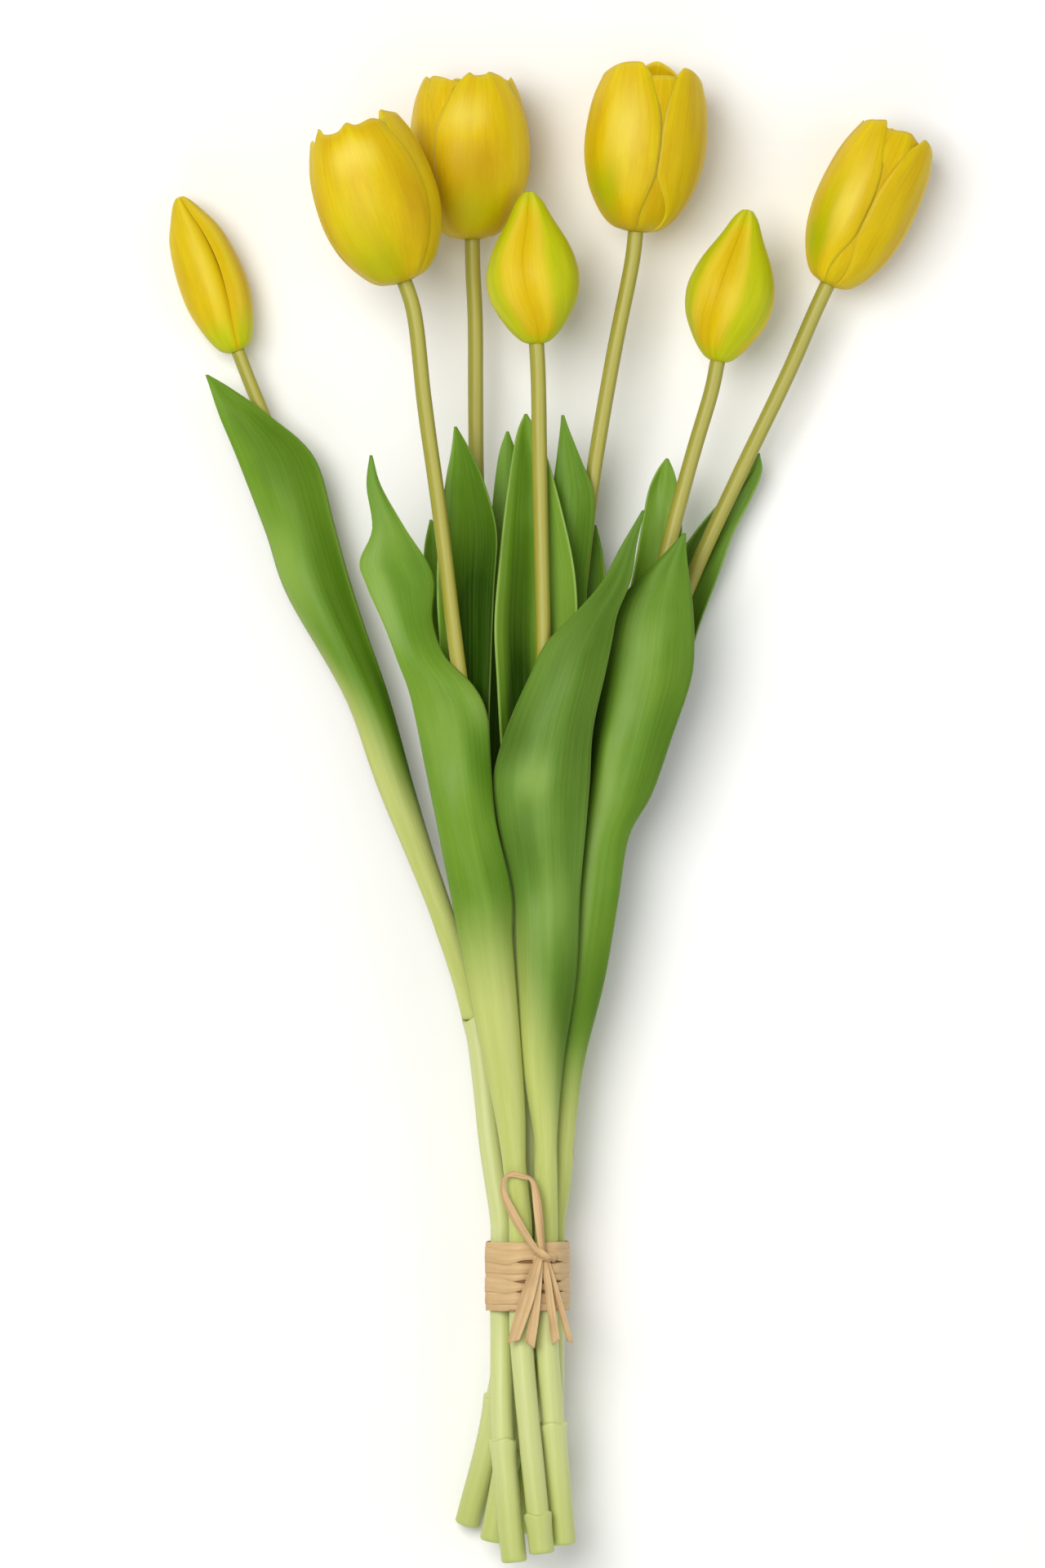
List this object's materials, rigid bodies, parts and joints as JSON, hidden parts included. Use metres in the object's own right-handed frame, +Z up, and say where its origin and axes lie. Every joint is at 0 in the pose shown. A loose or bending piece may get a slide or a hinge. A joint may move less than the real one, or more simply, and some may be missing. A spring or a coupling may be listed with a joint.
{
  "type": "bunch of tulips",
  "caption": "Tied bunch of yellow tulips lying on its back: open blooms and closed buds on long stems, broad waved leaves, and a raffia band near the cut ends.",
  "frame": {"origin": "middle of the part's outer box, on the surface that the bunch lies on", "axes": "+Y from the cut ends to the blooms, +Z up from the surface, +X to the right when seen from above with the blooms at the top"},
  "size_m": [0.2346, 0.4608, 0.0638],
  "materials": {
    "stem": "smooth, waxy",
    "leaf": "satin, lengthwise veins",
    "petal": "satin, fine lengthwise streaks",
    "bud_petal": "satin, green along the middle of each petal",
    "pistil": "matt",
    "raffia": "dry, fibrous"
  },
  "bodies": {
    "root": {"stem_far_left": "stem", "stem_left": "stem", "stem_back_left": "stem", "stem_middle": "stem", "stem_back_right": "stem", "stem_right": "stem", "stem_far_right": "stem", "leaf_far_left": "leaf", "leaf_left_front": "leaf", "leaf_left_rear": "leaf", "leaf_back_left_front": "leaf", "leaf_back_left_rear": "leaf", "leaf_middle_front": "leaf", "leaf_middle_rear": "leaf", "leaf_back_right_front": "leaf", "leaf_back_right_rear": "leaf", "leaf_right_front": "leaf", "leaf_right_rear": "leaf", "leaf_far_right": "leaf", "bloom_left": "petal", "bloom_back_left": "petal", "bloom_back_right": "petal", "bloom_far_right": "petal", "bud_far_left": "bud_petal", "bud_middle": "bud_petal", "bud_right": "bud_petal", "pistil_left": "pistil", "pistil_back_left": "pistil", "pistil_back_right": "pistil", "pistil_far_right": "pistil", "raffia_tie": "raffia"}
  },
  "joints": []
}
